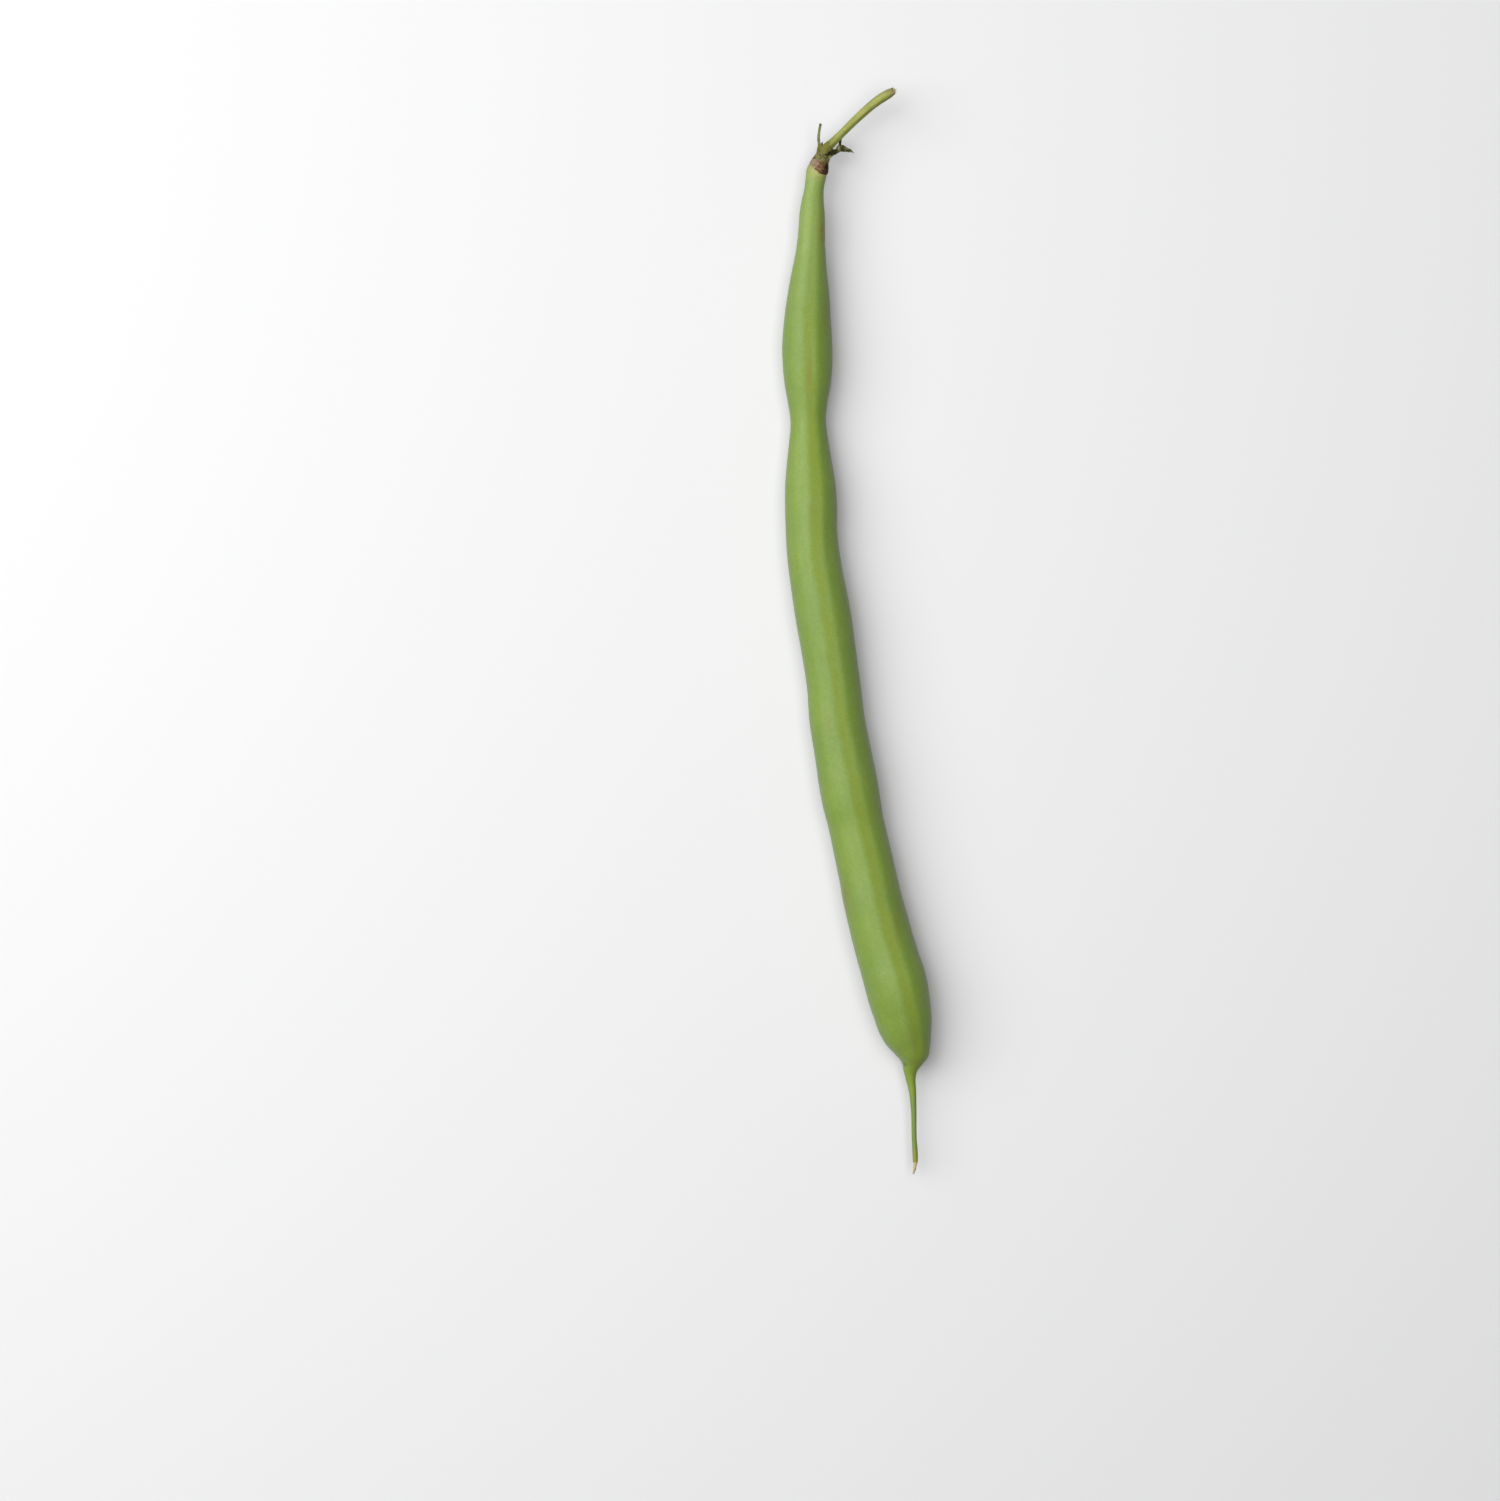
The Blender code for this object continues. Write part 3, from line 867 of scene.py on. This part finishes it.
def make_right_bract():
    """The shrivelled bract on the calyx's right: a foot, a pointed lobe and a spur that meets the stalk."""
    parts = [sweep("part", line, 0.05, 24, None, (0.10, 0.06))
             for line in (BRACT_FOOT_LINE, BRACT_LOBE_LINE, BRACT_SPUR_LINE)]
    bract = grown_together("right_bract_blade", parts, RIGHT_BRACT_VOXEL, 3)
    points, along, around = follow_line(bract, BRACT_FOOT_LINE[:-1] + BRACT_LOBE_LINE[1:])
    raise_skin(bract, points, 0.045 * lumps(points, 0.35, 41) + 0.02 * lumps(points, 0.14, 42))
    # Dark spots that are partly dark tissue and partly painted shade in the fold by the stalk
    set_attribute(bract.data, "dark_tissue_and_shade", spots(points, RIGHT_BRACT_DARK_AND_SHADE))
    set_attribute(bract.data, "pale", spots(points, RIGHT_BRACT_PALE))
    skin, colour = dry_material("right_bract_blade", (0.140, 0.145, 0.040), (0.050, 0.046, 0.010), 0.3)
    # Near black in the dark spots: partly dark tissue, partly painted shade in the fold by the stalk
    colour = skin.mix(skin.spread(skin.read("dark_tissue_and_shade"), 0.12, 0.70, 0.0, 0.96), colour, (0.014, 0.011, 0.002))
    colour = skin.mix(skin.read("pale"), colour, (0.300, 0.300, 0.180))
    skin.join(colour, "Base Color")
    bract.data.materials.append(skin.material)
    return bract


def torn_teeth(line):
    """Shreds of skin that stand round the torn end of a line."""
    chance = random.Random(7)
    before, end = np.array(line[-3]), np.array(line[-1])
    along = (end - before)[:3] / np.linalg.norm((end - before)[:3])
    side = np.cross(UP, along)
    side /= np.linalg.norm(side)
    out = np.cross(along, side)
    teeth = []
    for number in range(TEETH):
        turn = 2 * math.pi * number / TEETH + chance.uniform(-0.2, 0.2)
        rim = (side * math.sin(turn) + out * math.cos(turn)) * end[3] * 0.42
        reach = TOOTH_LENGTH * chance.uniform(0.35, 1.0)
        lean = chance.uniform(-0.15, 0.12)
        size = chance.uniform(0.20, 0.34)
        rows = []
        for share, width in ((-0.5, 1.0), (0.3, 1.0), (0.75, 0.7), (1.1, 0.3)):
            place = end[:3] + along * reach * share + rim * (1.0 + lean * max(share, 0.0))
            rows.append((*place, size * width, size * width))
        teeth.append(sweep("tooth", rows, 0.05, 12, None, (0.02, 0.02)))
    return teeth


def make_stalk():
    """The green stalk, ridged along its length and browned where it was torn off."""
    stem = sweep("stem", STALK_LINE, 0.06, 48, None, (0.05, 0.12))
    stalk = grown_together("stalk_stem", [stem] + torn_teeth(STALK_LINE), STALK_VOXEL, 2)
    points, along, around = follow_line(stalk, STALK_LINE)
    length = along.max()
    ridges = np.cos(around * 5 + 0.25 * along)
    ragged = np.clip((along - length + 1.0) / 0.6, 0.0, 1.0)
    height = 0.022 * ridges * (1 - ragged) + 0.02 * lumps(points, 1.2, 51) + 0.006 * lumps(points, 0.3, 52)
    raise_skin(stalk, points, height + 0.03 * ragged * lumps(points, 0.25, 53))
    set_attribute(stalk.data, "torn", length - along)
    stalk.data.materials.append(stalk_material())
    return stalk


def stalk_material():
    """Yellow-green, olive at its foot, and brown at its torn end."""
    skin = Material("stalk_stem")
    along = skin.read("along")
    streaks = skin.spread(skin.noise(0.4, 3.0, skin.long_vector(3.0)), 0.35, 0.65)
    colour = skin.mix(streaks, (0.250, 0.275, 0.032), (0.330, 0.350, 0.065))
    foot = skin.spread(along, 0.8, 3.2, 0.85, 0.0)
    colour = skin.mix(foot, colour, (0.185, 0.195, 0.025))
    specks = skin.spread(skin.noise(0.35 * MM, 2.0), 0.58, 0.72, 0.0, 0.35)
    colour = skin.mix(specks, colour, (0.450, 0.440, 0.160))
    uneven = skin.spread(skin.noise(0.4 * MM, 3.0), 0.3, 0.7, -0.3, 0.3)
    wavering = skin.math("ADD", skin.read("torn"), uneven)
    colour = skin.mix(skin.spread(wavering, 0.7, 1.6, 0.6, 0.0), colour, (0.240, 0.215, 0.060))
    shreds = skin.spread(skin.noise(0.15 * MM, 3.0), 0.4, 0.6)
    torn = skin.mix(shreds, (0.130, 0.085, 0.030), (0.380, 0.290, 0.150))
    colour = skin.mix(skin.spread(wavering, 0.25, 0.70, 0.95, 0.0), colour, torn)
    skin.join(colour, "Base Color")
    skin.join(skin.spread(skin.noise(0.3 * MM), 0.3, 0.7, 0.45, 0.60), "Roughness")
    fine = skin.bump(skin.noise(0.12 * MM, 2.0), 0.01 * MM)
    skin.join(skin.bump(skin.noise(0.15, 2.0, skin.long_vector(6.0)), 0.02 * MM, 1.0, fine), "Normal")
    skin.set(Subsurface_Weight=0.1, Subsurface_Radius=(0.5, 0.7, 0.2), Subsurface_Scale=0.5 * MM)
    return skin.material


FIBRE_COUNT = 60
FIBRE_REACH = 0.92
FIBRE_THICKNESS = 0.075
FIBRE_SPREAD = 0.36


def make_fibres():
    """The cream strands that stand out of the stalk's torn end."""
    chance = random.Random(5)
    before, end = (np.array(row[:3]) for row in STALK_LINE[-2:])
    along = (end - before) / np.linalg.norm(end - before)
    side = np.cross(UP, along)
    side /= np.linalg.norm(side)
    out = np.cross(along, side)
    curve = bpy.data.curves.new("torn_strands", "CURVE")
    curve.dimensions = "3D"
    curve.bevel_depth = FIBRE_THICKNESS / 2 * MM
    curve.bevel_resolution = 2
    curve.resolution_u = 5
    curve.use_fill_caps = True
    for _ in range(FIBRE_COUNT):
        turn, spot = chance.uniform(0, 2 * math.pi), FIBRE_SPREAD * math.sqrt(chance.random())
        foot = side * spot * math.cos(turn) + out * spot * math.sin(turn)
        lean = foot * chance.uniform(-0.3, 0.7) + side * chance.uniform(-0.16, 0.16)
        reach = FIBRE_REACH * chance.uniform(0.40, 1.0) * (1.0 - 0.4 * spot / FIBRE_SPREAD)
        curl = chance.uniform(-1.0, 1.0)
        spline = curve.splines.new("BEZIER")
        spline.bezier_points.add(3)
        for knot, share in zip(spline.bezier_points, (0.0, 0.4, 0.75, 1.0)):
            wave = math.sin(5 * share + turn) * 0.07 * share
            bend = lean * share ** 2 + out * wave + side * curl * wave
            knot.co = Vector((end + along * (share * reach - 0.12) + foot + bend) * MM)
            knot.radius = chance.uniform(0.7, 1.3) * (1.3 - 0.8 * share)
            knot.handle_left_type = knot.handle_right_type = "AUTO"
    strands = bpy.data.objects.new("torn_strands", curve)
    bpy.context.scene.collection.objects.link(strands)
    skin = Material("torn_strands")
    tone = skin.spread(skin.noise(0.22 * MM, 3.0), 0.35, 0.65)
    skin.join(skin.mix(tone, (0.60, 0.47, 0.26), (0.84, 0.74, 0.54)), "Base Color")
    skin.join(skin.bump(skin.noise(0.05 * MM, 2.0), 0.01 * MM), "Normal")
    skin.set(Roughness=0.7)
    curve.materials.append(skin.material)
    return strands


def make_floor():
    """A plain pale table."""
    mesh = bpy.data.meshes.new("table_top")
    body = bmesh.new()
    bmesh.ops.create_grid(body, x_segments=1, y_segments=1, size=1.5)
    body.to_mesh(mesh)
    body.free()
    floor = bpy.data.objects.new("table_top", mesh)
    floor.location.z = -0.02 * MM
    bpy.context.scene.collection.objects.link(floor)
    floor.visible_diffuse = False
    paint = Material("table_top").set(Base_Color=(0.80, 0.80, 0.80, 1.0), Roughness=0.9)
    paint.set(Specular_IOR_Level=0.1)
    mesh.materials.append(paint.material)


def make_light(name, place, size, power, colour=(1.0, 1.0, 1.0)):
    """A square soft box that faces the bean."""
    lamp = bpy.data.lights.new(name, "AREA")
    lamp.shape = "SQUARE"
    lamp.size = size
    lamp.energy = power
    lamp.color = colour
    light = bpy.data.objects.new(name, lamp)
    light.location = place
    light.rotation_euler = (-Vector(place)).to_track_quat("-Z", "Y").to_euler()
    bpy.context.scene.collection.objects.link(light)


def make_lights():
    """A large soft box on the left, a weak one above, and a pale surrounding."""
    make_light("key", *KEY_LIGHT)
    make_light("top", *TOP_LIGHT)
    world = bpy.data.worlds.new("studio")
    world.use_nodes = True
    background = world.node_tree.nodes["Background"]
    background.inputs["Color"].default_value = (0.94, 0.97, 1.0, 1.0)
    background.inputs["Strength"].default_value = SURROUNDING
    bpy.context.scene.world = world


def make_camera():
    """Straight above the photograph's middle, so that the bean lies where it does there."""
    data = bpy.data.cameras.new("camera")
    data.sensor_fit = "HORIZONTAL"
    data.sensor_width = SENSOR
    width = PHOTO_WIDTH / PIXELS_PER_MM * MM
    data.lens = SENSOR * (CAMERA_HEIGHT - SHARP_HEIGHT) / width
    camera = bpy.data.objects.new("camera", data)
    camera.location = ((PHOTO_WIDTH / 2 - ORIGIN_PIXEL[0]) / PIXELS_PER_MM * MM,
                       (ORIGIN_PIXEL[1] - PHOTO_HEIGHT / 2) / PIXELS_PER_MM * MM, CAMERA_HEIGHT)
    bpy.context.scene.collection.objects.link(camera)
    bpy.context.scene.camera = camera
    bpy.context.scene.view_settings.view_transform = "Standard"


make_camera()
make_lights()
make_floor()
for make, node in ((make_pod, "pod"), (make_style, "dry_style"), (make_calyx, "calyx"),
                   (make_left_bract, "left_bract"), (make_right_bract, "right_bract"),
                   (make_stalk, "stalk"), (make_fibres, "torn_fibres")):
    piece = make()
    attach(piece, "root")
    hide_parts(node)
